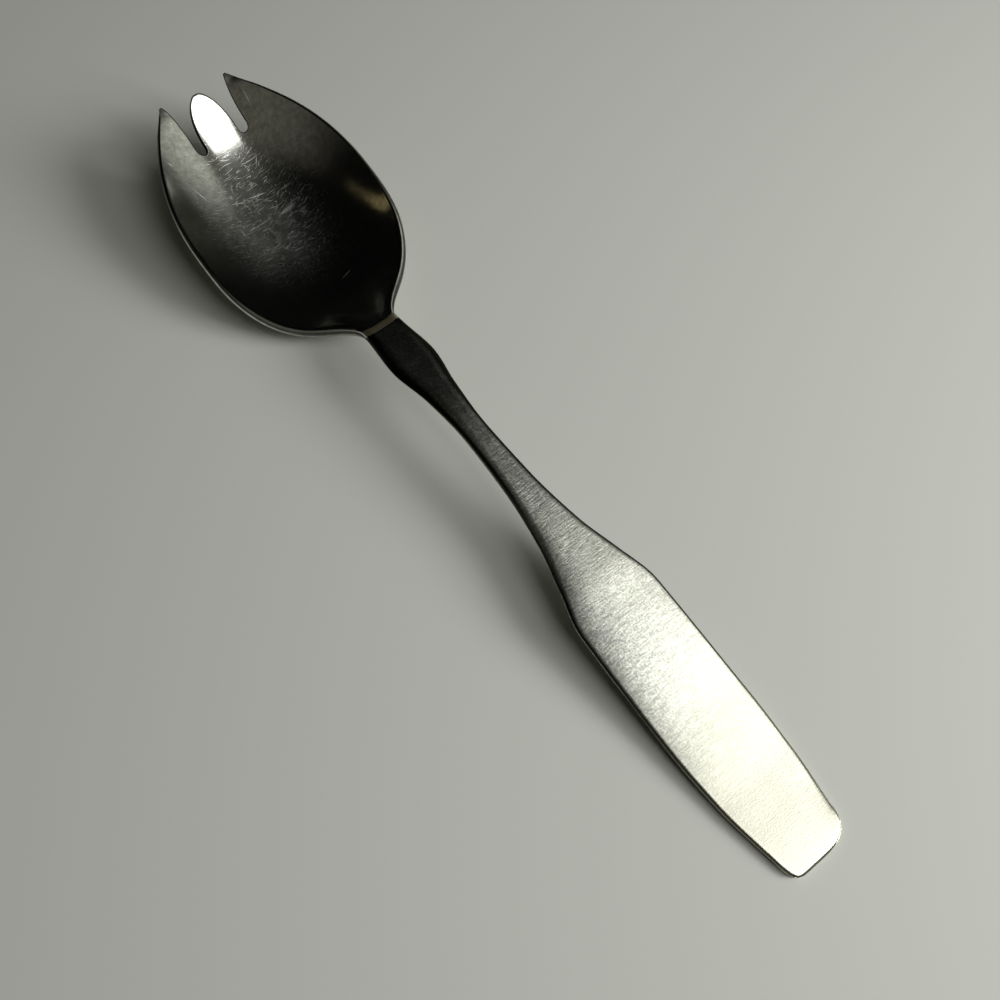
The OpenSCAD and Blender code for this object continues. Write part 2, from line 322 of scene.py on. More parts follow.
# Upper face of the blade: its fall at each side, its slope to the blunt end, and its swelling
CROWN_LEFT, CROWN_RIGHT, CROWN_FULL = 0.64, 0.45, 2.9
END_TAPER, TAPER_LEN, TAPER_BLEND = 0.04, 16.0, 7.0
BELLY, BELLY_AT, BELLY_HALF = 0.12, 16.0, 8.5
# Slope across an outer tine at its tip
TINE_TWIST = 0.16
# Share of the fall on each side, by place along the spork
LEFT_KNOTS = [(0, 0), (3, 0), (SHOULDER_X, 1), (HANDLE_LEN, 1), (HANDLE_LEN + 12, 0), (TIP_X, 0)]
RIGHT_KNOTS = [(0, 0), (8, 1), (30, 1), (56, 0), (TIP_X, 0)]
# Step of the central differences, in millimetres
PROBE = 0.02


def rim(x):
    """Height of the sheet's middle along the edge."""
    return smooth_curve(RIM_KNOTS, x)


def dish_line(x):
    """Height of the dish along its centre: a power of the distance behind its lowest place, and one ahead."""
    back = (np.clip(BOTTOM_X - x, 0, None) / (BOTTOM_X - BACK_X)) ** KEEL_BACK_FULL
    front = (np.clip(x - BOTTOM_X, 0, None) / (MIDDLE_TIP_X - BOTTOM_X)) ** KEEL_FRONT_FULL
    return BOTTOM_Z + (THROAT_Z - BOTTOM_Z) * back + (TIP_Z - BOTTOM_Z) * front


def lip_turn(y):
    """How far forward the lip has turned at y: nothing across its straight part, then as far as y goes on."""
    return soft_max(np.minimum(np.abs(y), LIP_SIDE) - LIP_FLAT, np.zeros_like(y), LIP_TURN)


def crown(x, y):
    """Fall of the blade's upper face: a power of the share of the half width, plus a slope to the end.

    The swelling BELLY * (1 - u^2)^2 comes off that, with u the distance from its middle over its half length.
    """
    share = np.clip(np.abs(y) / np.maximum(half_width(x), PROBE), 0, 1)
    taper = END_TAPER * soft_max(TAPER_LEN - x, np.zeros_like(x), TAPER_BLEND)
    belly = BELLY * (1 - np.clip((x - BELLY_AT) / BELLY_HALF, -1, 1) ** 2) ** 2
    left = CROWN_LEFT * smooth_curve(LEFT_KNOTS, x)
    right = CROWN_RIGHT * smooth_curve(RIGHT_KNOTS, x)
    return np.where(y > 0, left, right) * share ** CROWN_FULL + taper - belly


def twist(x, y):
    """How far an outer tine is turned about its own middle: a slope across it that grows to its tip."""
    u = np.clip((x - ROOT_X) / (TIP_X - ROOT_X), 0, 1)
    middle_y = (inner_edge(x) + half_width(x)) / 2
    lift = TINE_TWIST * u * u * (3 - 2 * u) * (np.abs(y) - middle_y)
    return np.where(np.abs(y) > SLOT_Y, lift, 0)


def middle(x, y, blend):
    """Height of the sheet's middle: keel + (rim - keel) * (|y| / half width)^fullness.

    The keel is the lower of the rim line and the dish line. Beside the centre the dish line is read further
    back, by the lip's turn there, and this fades out along the bowl. The outer tines' twist is added.
    """
    w = np.maximum(half_width(x) + INSET, PROBE)
    fade = 1 - np.clip((x - BACK_X) / LIP_FADE, 0, 1)
    keel = soft_min(rim(x), dish_line(x - lip_turn(y) * fade * fade * (3 - 2 * fade)), blend)
    return keel + (rim(x) - keel) * (np.abs(y) / w) ** DISH_FULL + twist(x, y)


def normal(x, y, blend):
    """Upward unit normal of that surface, from central differences: (-dz/dx, -dz/dy, 1) made one long."""
    along = (middle(x + PROBE, y, blend) - middle(x - PROBE, y, blend)) / (2 * PROBE)
    across = (middle(x, y + PROBE, blend) - middle(x, y - PROBE, blend)) / (2 * PROBE)
    n = np.stack([-along, -across, np.ones_like(along)], -1)
    return n / np.linalg.norm(n, axis=-1, keepdims=True)


print("dish is", round(float(rim(BOTTOM_X) - dish_line(BOTTOM_X)), 2), "mm deep at its lowest place")

# %% [markdown]
# ## Rows and columns
#
# The surface needs small faces where it turns quickly: round the edges, at the lip of the dish, at the slot
# roots and at the tips. Even rows would waste most of the faces on the flat blade. So the rows are spread
# by a density: its running total is cut into equal shares, and the rows lie where the cuts fall. Across the
# sheet there are three strips, one for each tine, and each is drawn together towards its two sides.

# %% Rows and columns
MAIN_ROWS, TINE_ROWS = 270, 44
SIDE_COLUMNS, MIDDLE_COLUMNS = 36, 34
# Rows bend to the blunt end's curve over this length, and that curve is read up to this share of its width
END_ZONE, CORNER_AT = 12.0, 0.86
# Where rows lie closer: place, gain and width of each bump of their density
MAIN_DETAIL = [(0, 22, 0.4), (BACK_X + 0.4, 4, 2.0), (ROOT_X, 16, 0.6), (BOTTOM_X, 1.2, 16)]
TINE_DETAIL = [(0, 8, 0.06), (1, 10, 0.05)]
SAMPLES = 20001


def spread_rows(low, high, count, detail):
    """Rows from low to high. Their density is 1 plus gain / (1 + (distance / width)^2) for each place."""
    x = np.linspace(low, high, SAMPLES)
    density = 1 + sum(gain / (1 + ((x - at) / width) ** 2) for at, gain, width in detail)
    running = np.concatenate([[0], np.cumsum((density[1:] + density[:-1]) / 2)])
    return np.interp(np.linspace(0, running[-1], count + 1), running, x)


def eased(count):
    """Shares from 0 to 1, drawn together at both ends by a cosine."""
    return (1 - np.cos(np.linspace(0, np.pi, count + 1))) / 2


rows = spread_rows(0, ROOT_X, MAIN_ROWS, MAIN_DETAIL)
tine_shares = spread_rows(0, 1, TINE_ROWS, TINE_DETAIL)
side = eased(SIDE_COLUMNS)
centre = eased(MIDDLE_COLUMNS)
steps = np.diff(rows)
print("rows lie", round(float(steps.min()), 3), "to", round(float(steps.max()), 2), "mm apart")

# %% [markdown]
# ## From grid to sheet
#
# Each grid point has a place in the plan. Its distance to the nearest edge decides how thick the sheet
# still is there: full inside, and falling over a rounded corner to a short wall at the edge. The two faces
# lie that far above and below the middle surface, along its normal, so walls and slots are cut square to
# the sheet as a die cuts them.

# %% Plan grids
def main_plan():
    """Plan places of handle, neck and bowl: x and y on (row, column).

    Across, the shares of the half width run from -1 to 1, split at the slots. Near the blunt end the rows
    bend to its curve.
    """
    split = SLOT_Y / half_width(ROOT_X)
    right = -1 + (1 - split) * side
    between = -split + 2 * split * centre[1:]
    left = split + (1 - split) * side[1:]
    across = np.concatenate([right, between, left])
    bend = np.clip(1 - rows / END_ZONE, 0, 1)[:, None] ** 2
    corner = CORNER_AT * end_half(across)
    x = rows[:, None] + end_reach(across * corner)[None, :] * bend
    edge_x = rows[:, None] + end_reach(np.sign(across) * corner)[None, :] * bend
    return x, across * half_width(edge_x, across)


def strip_plan(tip, low, high, columns):
    """Plan places of one tine, between the edges low(x) and high(x), on (row, column)."""
    x = ROOT_X + (tip - ROOT_X) * tine_shares
    y = low(x)[:, None] + (high(x) - low(x))[:, None] * columns[None, :]
    return np.broadcast_to(x[:, None], y.shape), y


main_x, main_y = main_plan()
strips = [
    strip_plan(TIP_X - TIP_INSET, lambda x: -half_width(x), lambda x: -inner_edge(x), side),
    strip_plan(MIDDLE_TIP_X - TIP_INSET, lambda x: -middle_half(x), middle_half, centre),
    strip_plan(TIP_X - TIP_INSET, inner_edge, half_width, side),
]
print("grid of", main_x.shape, "and tines of", [s[0].shape for s in strips])

# %% [markdown]
# ## Edges
#
# A tumbled edge is a cut wall with both its corners rounded. Four kinds of edge count here: the outline,
# the blunt end, the slots and the tips. The neck and the collar have wide bevels, and the slots stay nearly
# sharp, because the tumbler's stones don't reach into them. For each kind the gap to it is measured square
# to that edge, and stretched where the sheet stands steep.

# %% Edges
# Limits that keep the gaps finite: least upward part of a normal, and steepest slope of a tine's edge
LEAST_UP, MOST_SLOPE = 0.3, 9


def slope_of(line, x):
    """How fast a plan line moves sideways along x, by central difference."""
    return (line(x + PROBE) - line(x - PROBE)) / (2 * PROBE)


def round_edge(gap, reach, half, bevel=ROUND_BEVEL):
    """Half thickness near an edge: a short wall, a quarter superellipse as long as reach, then all of it.

    Its power, bevel, is 2 for a round edge and nearer 1 for a flat bevel. On the edge itself the half
    thickness is nothing, so that both faces meet in the middle of the wall.
    """
    rise = np.minimum(EDGE_RISE * reach, half)
    left = 1 - np.clip(gap / reach, 0, 1)
    return np.where(gap > 0, half - rise + rise * (1 - left ** bevel) ** (1 / bevel), 0)


def outline_gap(x, y):
    """Gap to the outer edge, measured along the sheet."""
    n = normal(x, y, LIP_BLEND_TOP)
    steep = 1 / np.maximum(n[..., 2], LEAST_UP)
    lean = np.sqrt(1 + slope_of(lambda place: half_width(place, y), x) ** 2)
    side_gap = np.maximum(half_width(x, y) - np.abs(y), 0) / lean * steep
    end_gap = np.maximum(x - end_reach(y), 0)
    at_end = (x < END_LEN) & (np.abs(y) < end_half(y) - 2 * INSET)
    return np.where(at_end, np.minimum(side_gap, end_gap), side_gap)


def root_gap(x, y):
    """Gap to the round root of the nearer slot, a circle of half the slot's width."""
    return np.maximum(np.hypot(x - ROOT_X - SLOT_R, np.abs(y) - SLOT_Y) - SLOT_R, 0)


def tine_gap(x, y, edge, tip):
    """Gap to a tine's slot edge and to its tip, whichever is nearer."""
    slope = np.clip(slope_of(edge, x), -MOST_SLOPE, MOST_SLOPE)
    side_gap = np.abs(np.abs(y) - edge(x)) / np.sqrt(1 + slope ** 2)
    round_gap = np.where(x < ROOT_X + SLOT_R, root_gap(x, y), side_gap)
    return np.minimum(round_gap, tip - x)


def thickness(x, y, slot_gap):
    """Half the sheet's thickness, rounded along every edge, and the gap to the nearest edge."""
    gap = outline_gap(x, y)
    half = smooth_curve(SHEET_KNOTS, x) / 2
    outer = round_edge(gap, smooth_curve(EDGE_KNOTS, x), half, smooth_curve(BEVEL_KNOTS, x))
    return np.minimum(outer, round_edge(slot_gap, SLOT_EDGE, half)), np.minimum(gap, slot_gap)


def faces_of_sheet(x, y, slot_gap):
    """Upper and lower points, middle + and - half thickness * normal, and the gaps to all edges and slots."""
    half, gap = thickness(x, y, slot_gap)
    top_rise = half - np.minimum(crown(x, y), half)
    points = []
    for rise, blend in ((top_rise, LIP_BLEND_TOP), (-half, LIP_BLEND_UNDER)):
        base = np.stack([x, y, middle(x, y, blend)], -1)
        points.append(base + rise[..., None] * normal(x, y, blend))
    return points[0], points[1], gap, slot_gap


sheets = [faces_of_sheet(main_x, main_y, root_gap(main_x, main_y))]
outer_tine = (inner_edge, TIP_X - TIP_INSET)
middle_tine = (middle_half, MIDDLE_TIP_X - TIP_INSET)
edges = [outer_tine, middle_tine, outer_tine]
sheets += [faces_of_sheet(x, y, tine_gap(x, y, *edge)) for (x, y), edge in zip(strips, edges)]
print("thickest place", round(float(max((s[0] - s[1])[..., 2].max() for s in sheets)), 2), "mm")

# %% [markdown]
# ## One closed mesh
#
# The grids are numbered as whole arrays. A tine's first row is the bowl's last row, so the strips share
# their points there. The underside has its own points, except along the edges, where both faces use the
# same ones. That closes the sheet all round without a seam, and each face is a four-sided one.

# %% Mesh
def number_grids():
    """Point numbers of each grid, with each tine's first row taken from the bowl's last row."""
    main = np.arange(main_x.size).reshape(main_x.shape)
    grids = [main]
    first = 0
    start = main.size
    for (x, _), columns in zip(strips, (SIDE_COLUMNS, MIDDLE_COLUMNS, SIDE_COLUMNS)):
        fresh = start + np.arange((x.shape[0] - 1) * x.shape[1]).reshape(-1, x.shape[1])
        grids.append(np.vstack([main[-1, first:first + columns + 1], fresh]))
        first += columns
        start += fresh.size
    return grids, start


def rim_points(grids):
    """Numbers of the points on an edge: sides and blunt end of the main grid, sides and tip of each tine."""
    main = grids[0]
    found = [main[0], main[:, 0], main[:, -1]]
    found += [part for g in grids[1:] for part in (g[:, 0], g[:, -1], g[-1])]
    return np.unique(np.concatenate(found))


def quads(grid):
    """Four corner numbers of each face of a grid, turning left as seen from above."""
    a, b, c, d = grid[:-1, :-1], grid[1:, :-1], grid[1:, 1:], grid[:-1, 1:]
    return np.stack([a, b, c, d], -1).reshape(-1, 4)


def build_spork():
    """Joins both faces of every grid into one closed mesh, in metres.

    Three attributes go with its points: the gap to the nearest edge, negative on the underside, the gap to
    the slots and tips, and the distance ahead of the lip of the dish.
    """
    grids, count = number_grids()
    place = np.zeros((2 * count, 3))
    gaps = np.zeros(2 * count)
    slots = np.zeros(2 * count)
    for grid, (upper, lower, gap, slot_gap) in zip(grids, sheets):
        first = 0 if grid is grids[0] else 1
        above = grid[first:]
        below = above + count
        place[above], place[below] = upper[first:], lower[first:]
        gaps[above], gaps[below] = gap[first:], -gap[first:]
        slots[above], slots[below] = slot_gap[first:], slot_gap[first:]
    twin = np.arange(2 * count)
    on_edge = rim_points(grids)
    place[on_edge] = (place[on_edge] + place[on_edge + count]) / 2
    twin[on_edge + count] = on_edge
    top = np.concatenate([quads(g) for g in grids])
    used, corner = np.unique(twin[np.concatenate([top, top[:, ::-1] + count])], return_inverse=True)
    place[:, 0] += START_X
    mesh = bpy.data.meshes.new("spork")
    mesh.from_pydata(place[used] * MM, [], corner.reshape(-1, 4))
    ahead = place[:, 0] - START_X - BACK_X - lip_turn(place[:, 1])
    for name, values in (("edge_gap", gaps), ("slot_gap", slots), ("lip_gap", ahead)):
        layer = mesh.attributes.new(name, "FLOAT", "POINT")
        layer.data.foreach_set("value", values[used].astype(np.float32))
    mesh.polygons.foreach_set("use_smooth", np.ones(len(mesh.polygons), bool))
    mesh.validate()
    mesh.update()
    piece = bpy.data.objects.new("spork", mesh)
    bpy.context.scene.collection.objects.link(piece)
    return piece


spork = build_spork()
print("spork has", len(spork.data.vertices), "points and", len(spork.data.polygons), "faces")

# %% [markdown]
# ## Node helpers
#
# Bare steel has hardly any colour of its own. What makes it look real is how its gloss changes: scratches,
# grain and polished edges. Each of these is built once as a shader node group and then placed in both
# finishes with its own values. A few short helpers keep the node code readable.

# %% Node helpers
def feed(tree, socket, value):
    """Links another socket into this one, or sets it to a plain value."""
    if isinstance(value, bpy.types.NodeSocket):
        tree.links.new(value, socket)
    else:
        socket.default_value = value


def calc(tree, operation, *values):
    """One Math node, and its result."""
    node = tree.nodes.new("ShaderNodeMath")
    node.operation = operation
    for socket, value in zip(node.inputs, values):
        feed(tree, socket, value)
    return node.outputs["Value"]


def folded(tree, operation, values):
    """Several values taken together by one operation, from the first to the last."""
    result = values[0]
    for value in values[1:]:
        result = calc(tree, operation, result, value)
    return result


def total(tree, *values):
    """The sum of several values."""
    return folded(tree, "ADD", values)


def product(tree, *values):
    """The product of several values."""
    return folded(tree, "MULTIPLY", values)


def strongest(tree, *values):
    """The largest of several values."""
    return folded(tree, "MAXIMUM", values)


def rest_of(tree, share):
    """What a share leaves of 1."""
    return calc(tree, "SUBTRACT", 1.0, share)


def attribute(tree, name):
    """A value that the mesh carries at its points."""
    node = tree.nodes.new("ShaderNodeAttribute")
    node.attribute_name = name
    return node.outputs["Fac"]


def vector(tree, operation, *values):
    """One Vector Math node, and its vector."""
    node = tree.nodes.new("ShaderNodeVectorMath")
    node.operation = operation
    for socket, value in zip(node.inputs, values):
        feed(tree, socket, value)
    return node.outputs["Vector"]


def ramp(tree, value, low, high, at_low, at_high):
    """A smooth step: at_low below low, at_high above high, and an S-shaped change between them."""
    node = tree.nodes.new("ShaderNodeMapRange")
    node.interpolation_type = "SMOOTHSTEP"
    labels = ("Value", "From Min", "From Max", "To Min", "To Max")
    for label, setting in zip(labels, (value, low, high, at_low, at_high)):
        feed(tree, node.inputs[label], setting)
    return node.outputs["Result"]


def blended(tree, share, first, second):
    """A tint between two others."""
    mix = tree.nodes.new("ShaderNodeMix")
    mix.data_type = "RGBA"
    for label, value in (("Factor", share), ("A", first), ("B", second)):
        feed(tree, mix.inputs[label], value)
    return mix.outputs["Result"]


def turned(tree, place, angle):
    """A place turned about the vertical axis."""
    node = tree.nodes.new("ShaderNodeVectorRotate")
    node.rotation_type = "Z_AXIS"
    feed(tree, node.inputs["Vector"], place)
    feed(tree, node.inputs["Angle"], angle)
    return node.outputs["Vector"]


def parts_of(tree, place):
    """The x, y and z of a vector."""
    node = tree.nodes.new("ShaderNodeSeparateXYZ")
    tree.links.new(place, node.inputs[0])
    return node.outputs


def joined(tree, x, y, z):
    """A vector from three values."""
    node = tree.nodes.new("ShaderNodeCombineXYZ")
    for socket, value in zip(node.inputs, (x, y, z)):
        feed(tree, socket, value)
    return node.outputs[0]


def new_group(name, inputs, output):
    """An empty shader node group with its inputs, given as (label, kind, value), and one output."""
    tree = bpy.data.node_groups.new(name, "ShaderNodeTree")
    for label, kind, value in inputs:
        socket = tree.interface.new_socket(label, in_out="INPUT", socket_type="NodeSocket" + kind)
        socket.default_value = value
    tree.interface.new_socket(output, in_out="OUTPUT", socket_type="NodeSocketFloat")
    return tree, tree.nodes.new("NodeGroupInput").outputs, tree.nodes.new("NodeGroupOutput").inputs[output]


def use(tree, group, **settings):
    """Places a group in a material, sets or links its inputs by name, and gives its output."""
    node = tree.nodes.new("ShaderNodeGroup")
    node.node_tree = group
    for label, value in settings.items():
        feed(tree, node.inputs[label.capitalize()], value)
    return node.outputs[0]


print("node helpers ready")

# %% [markdown]
# ## Scratches
#
# Years of forks and washing up leave hundreds of short fine scratches. Drawing each one as geometry would
# be wasteful, and an image would repeat. Here Voronoi cells scatter them: each cell holds one line through
# its own point, turned by a random angle, thinning to nothing at both ends. Long cells make long scratches.
# A second group draws one such line at a chosen place, for the few deep marks that stand alone.

# %% Scratches
# At its ends a scratch still has this share of its width, so that nothing is divided by zero
THINNEST = 0.001
# Half a scratch's length as a share of its cell's length: the least, and how much more it can be
HALF_LEAST, HALF_MORE = 0.16, 0.32


def tapered_line(tree, along, across, half_length, width):
    """Mask of one line, fading out over its half width, which is width * (1 - (along / half length)^2)."""
    reach = calc(tree, "DIVIDE", along, half_length)
    taper = strongest(tree, rest_of(tree, product(tree, reach, reach)), THINNEST)
    gap = calc(tree, "DIVIDE", calc(tree, "ABSOLUTE", across), product(tree, width, taper))
    return product(tree, ramp(tree, gap, 0.0, 1.0, 1.0, 0.0), taper)


def scratch_group():
    """One scratch in each Voronoi cell.

    The cell is wide by Cell and long by Cell * Stretch, and lies along Turn. Each scratch is turned from that
    by up to half of Spread. A Share of the cells show theirs, each with its own strength between 0 and 1.
    """
    inputs = [
        ("Vector", "Vector", (0, 0, 0)), ("Turn", "Float", 0), ("Spread", "Float", 1), ("Cell", "Float", 1),
        ("Stretch", "Float", 4), ("Width", "Float", 0.04), ("Share", "Float", 0.5),
    ]
    tree, given, result = new_group("fine_scratches", inputs, "Mask")
    length = product(tree, given["Cell"], given["Stretch"])
    size = joined(tree, length, given["Cell"], 1.0)
    place = vector(tree, "DIVIDE", turned(tree, given["Vector"], given["Turn"]), size)
    cells = tree.nodes.new("ShaderNodeTexVoronoi")
    cells.voronoi_dimensions = "2D"
    cells.inputs["Scale"].default_value = 1.0
    tree.links.new(place, cells.inputs["Vector"])
    chance = parts_of(tree, cells.outputs["Color"])
    offset = vector(tree, "MULTIPLY", vector(tree, "SUBTRACT", place, cells.outputs["Position"]), size)
    angle = product(tree, calc(tree, "SUBTRACT", chance["X"], 0.5), given["Spread"])
    along, across, _ = parts_of(tree, turned(tree, offset, angle))
    half_length = product(tree, length, calc(tree, "MULTIPLY_ADD", chance["Z"], HALF_MORE, HALF_LEAST))
    line = tapered_line(tree, along, across, half_length, given["Width"])
    strength = rest_of(tree, calc(tree, "DIVIDE", chance["Y"], given["Share"]))
    tree.links.new(product(tree, line, strongest(tree, strength, 0.0)), result)
    return tree


def mark_group():
    """One mark at a chosen place: the same tapered line, in a straight run of Length about its Middle."""
    inputs = [
        ("Vector", "Vector", (0, 0, 0)), ("Middle", "Vector", (0, 0, 0)), ("Turn", "Float", 0),
        ("Length", "Float", 3), ("Width", "Float", 0.05),
    ]
    tree, given, result = new_group("single_mark", inputs, "Mask")
    offset = vector(tree, "SUBTRACT", given["Vector"], given["Middle"])
    along, across, _ = parts_of(tree, turned(tree, offset, given["Turn"]))
    half_length = product(tree, given["Length"], 0.5)
    tree.links.new(tapered_line(tree, along, across, half_length, given["Width"]), result)
    return tree


scratches = scratch_group()
single_mark = mark_group()
print("groups:", scratches.name, single_mark.name)

# %% [markdown]
# ## Grain and polished edges
#
# Under the scratches lies the grain that belts and tumbling leave: fine noise, drawn out along one way
# where the neck was brushed across. And every rolled edge is smoother than the face beside it, because
# hands and other cutlery rub there. The mesh carries the gap to the nearest edge as an attribute, so the
# edge mask follows the true outline.

# %% Grain and edges
GRAIN_DETAIL = 2.0
MIDDLE_GREY = 0.5


def grain_group():
    """Noise between 0 and 1, with grains of Long by Wide millimetres, and steeper with less Contrast."""
    inputs = [
        ("Vector", "Vector", (0, 0, 0)), ("Long", "Float", 1), ("Wide", "Float", 1),
        ("Contrast", "Float", 0.2),
    ]
    tree, given, result = new_group("steel_grain", inputs, "Value")
    place = vector(tree, "DIVIDE", given["Vector"], joined(tree, given["Long"], given["Wide"], given["Wide"]))
    noise = tree.nodes.new("ShaderNodeTexNoise")
    noise.inputs["Scale"].default_value = 1.0
    noise.inputs["Detail"].default_value = GRAIN_DETAIL
    tree.links.new(place, noise.inputs["Vector"])
    low = calc(tree, "SUBTRACT", MIDDLE_GREY, given["Contrast"])
    high = calc(tree, "ADD", MIDDLE_GREY, given["Contrast"])
    tree.links.new(ramp(tree, noise.outputs["Fac"], low, high, 0.0, 1.0), result)
    return tree


def edge_group():
    """1 on an edge, falling smoothly to 0 at Reach millimetres from it."""
    tree, given, result = new_group("rolled_edge", [("Reach", "Float", 1)], "Mask")
    gap = calc(tree, "ABSOLUTE", attribute(tree, "edge_gap"))
    tree.links.new(ramp(tree, gap, 0.0, given["Reach"], 1.0, 0.0), result)
    return tree


grain = grain_group()
rolled_edge = edge_group()
print("groups:", grain.name, rolled_edge.name)

# %% [markdown]
# ## Bare steel
#
# Both finishes start from the same metal shader. Bare steel has no coat of colour: its tint only says how
# much of the light it gives back, and the rest is roughness and fine relief. All patterns are placed in
# millimetres from the middle of the spork. At a grazing look old steel stays duller than new steel, so the
# tint at the edge is low too.

# %% Bare steel
EDGE_TINT = (0.45, 0.45, 0.42, 1.0)


def bare_steel(name):
    """A metal shader with its coordinates in millimetres."""
    material = bpy.data.materials.new(name)
    material.use_nodes = True
    tree = material.node_tree
    shader = tree.nodes["Principled BSDF"]
    shader.inputs["Metallic"].default_value = 1.0
    shader.inputs["Specular Tint"].default_value = EDGE_TINT
    source = tree.nodes.new("ShaderNodeTexCoord")
    place = vector(tree, "DIVIDE", source.outputs["Object"], (MM, MM, MM))
    return material, tree, shader, place


def patch(tree, place, middle_of, size, core, inside, outside):
    """A soft-edged ellipsoid: inside up to a core share of its size, outside from its full size on."""
    node = tree.nodes.new("ShaderNodeVectorMath")
    node.operation = "LENGTH"
    offset = vector(tree, "SUBTRACT", place, middle_of)
    tree.links.new(vector(tree, "DIVIDE", offset, size), node.inputs[0])
    return ramp(tree, node.outputs["Value"], core, 1.0, inside, outside)


def scratched(tree, place, layers):
    """The strongest of several layers of scratches."""
    masks = [
        use(tree, scratches, vector=place, turn=math.radians(turn), spread=spread, cell=cell, stretch=stretch,
            width=width, share=share)
        for turn, spread, cell, stretch, width, share in layers
    ]
    return strongest(tree, *masks)


def finish_steel(tree, shader, tint, roughness, height):
    """Wires the steel's tint, its roughness, and its bump from a height in millimetres."""
    tree.links.new(tint, shader.inputs["Base Color"])
    tree.links.new(roughness, shader.inputs["Roughness"])
    bump = tree.nodes.new("ShaderNodeBump")
    bump.inputs["Distance"].default_value = MM
    tree.links.new(height, bump.inputs["Height"])
    tree.links.new(bump.outputs["Normal"], shader.inputs["Normal"])


print("tint of both finishes at a grazing look:", EDGE_TINT[:3])

# %% [markdown]
# ## Wear of the dish
#
# Most scratches in the dish run across the spork, as food is pushed over its floor, some run along it, and
# a few deep marks stand alone. They lie thickest behind the middle tine. Between them the mirror is clouded
# by a haze of wear too fine to see as lines, and it is spotted by dried water. Haze spreads the gloss, and
# spots take light away.

# %% Wear of the dish
# Each layer: turn in degrees, spread in radians, cell in millimetres, stretch, half width in millimetres
# and share
DISH_SCRATCHES = [
    (-95, 0.4, 0.5, 7.0, 0.024, 0.8),
    (-91, 0.6, 0.75, 5.0, 0.036, 0.4),
    (-103, 0.5, 0.3, 7.0, 0.019, 0.85),
    (-84, 0.9, 0.6, 5.0, 0.026, 0.7),
    (-15, 1.6, 0.9, 3.0, 0.028, 0.4),
    (22.9183, 6.0, 0.6, 1.2, 0.06, 0.45),
]
# Each lone mark: place in millimetres, turn in degrees, length and half width in millimetres, and strength
LONE_MARKS = [
    ((55.2, 0.6, 0), -80, 4.0, 0.06, 1.0),
    ((50.9, -2.5, 0), -96, 3.4, 0.75, 0.4),
    ((57.7, 8.2, 0), -25, 4.3, 0.05, 1.0),
    ((62.2, 9.6, 0), -47, 0.9, 0.1, 1.0),
    ((35.5, -2.7, 0), -105, 2.9, 0.06, 1.0),
    ((59.4, -2.6, 0), -140, 1.8, 0.06, 0.8),
    ((66.1, -6.6, 0), 5, 3.6, 0.07, 1.0),
    ((49.4, -4.0, 0), -96, 1.8, 0.5, 0.3),
]
# Where scratches and haze are thickest, in millimetres, the sizes over which they thin out, and the cores
# of these
WORN_MIDDLE, WORN_SIZE, WORN_CORE, WORN_LEAST = (52.0, 0.5, 3.0), (20.0, 13.5, 30.0), 0.2, 0.12
HAZE_MIDDLE, HAZE_SIZE, HAZE_CORE = (49.0, 2.6, 3.0), (16.5, 13.0, 30.0), 0.1
# Roughness of the haze at its least, and what its grain and clouds add
HAZE_LEAST, HAZE_GRAIN, HAZE_CLOUDS = 0.132, 0.07, 0.06
# Share of smudge that the grain and the spots give
SMUDGE_GRAIN, SMUDGE_SPOTS = 0.3, 0.3


def dish_scratches(tree, place):
    """Mask of the dish's scratches: the layers, thinner away from the worn middle, and the lone marks."""
    worn = patch(tree, place, WORN_MIDDLE, WORN_SIZE, WORN_CORE, 1.0, WORN_LEAST)
    fine = product(tree, scratched(tree, place, DISH_SCRATCHES), worn)
    for middle_of, turn, length, width, strength in LONE_MARKS:
        mark = use(tree, single_mark, vector=place, middle=middle_of, turn=math.radians(turn), length=length,
                   width=width)
        fine = strongest(tree, fine, product(tree, mark, strength))
    return fine


def dish_haze(tree, place):
    """Roughness of the haze, and the share of smudge."""
    fine = use(tree, grain, vector=place, long=0.3, wide=0.5, contrast=0.4)
    spots = use(tree, grain, vector=place, long=0.8, wide=1.1, contrast=0.25)
    clouds = use(tree, grain, vector=place, long=5.0, wide=4.0, contrast=0.3)
    haze = total(tree, product(tree, fine, HAZE_GRAIN), product(tree, clouds, HAZE_CLOUDS), HAZE_LEAST)
    hazy = patch(tree, place, HAZE_MIDDLE, HAZE_SIZE, HAZE_CORE, 1.0, 0.0)
    smudged = total(tree, product(tree, fine, SMUDGE_GRAIN), product(tree, spots, SMUDGE_SPOTS))
    return product(tree, haze, hazy), smudged


print("the dish has", len(DISH_SCRATCHES), "layers of scratches and", len(LONE_MARKS), "lone marks")

# %% [markdown]
# ## Polished steel of the dish
#
# The dish was buffed to a mirror and then used. A straw-coloured painted reflection lies along the lip, and
# painted shade high on the left side darkens a reflection there. Painted shade also lines the slots, the
# tips and the rim's wall as dark lines, and the tips have been blunted. A scratch spreads the gloss, so it
# raises the roughness, and it is also a groove for the bump: it catches the light even where the mirror
# beside it is dark.

# %% Polished steel
STEEL = (0.78, 0.795, 0.725, 1.0)
SMUDGE = (0.12, 0.12, 0.11, 1.0)
WORN = (0.74, 0.755, 0.71, 1.0)
# Straw-coloured painted reflection laid along the lip of the dish
LIP_REFLECTION_TINT = (0.6, 0.53, 0.34, 1.0)
# Painted shade high on the left side of the dish, darkening a reflection there
LEFT_SHADE_TINT = (0.2, 0.205, 0.19, 1.0)
# Painted shade: dark lines along the slots, the tips and the rim's wall
EDGE_SHADE_TINT = (0.02, 0.02, 0.018, 1.0)
# Roughness of the polish, and what the scratches, the lip band, the painted edge shade band and the blunted
# tips add to it
POLISH, SCRATCH_ROUGH, LIP_ROUGH, EDGE_SHADE_ROUGH, TIP_ROUGH = 0.12, 0.42, 0.29, 0.3, 0.26
# Depth of a scratch, and the reach of the edge that haze and the painted lip reflection leave clean, in
# millimetres
GROOVE, CLEAN_EDGE = -0.003, 0.6
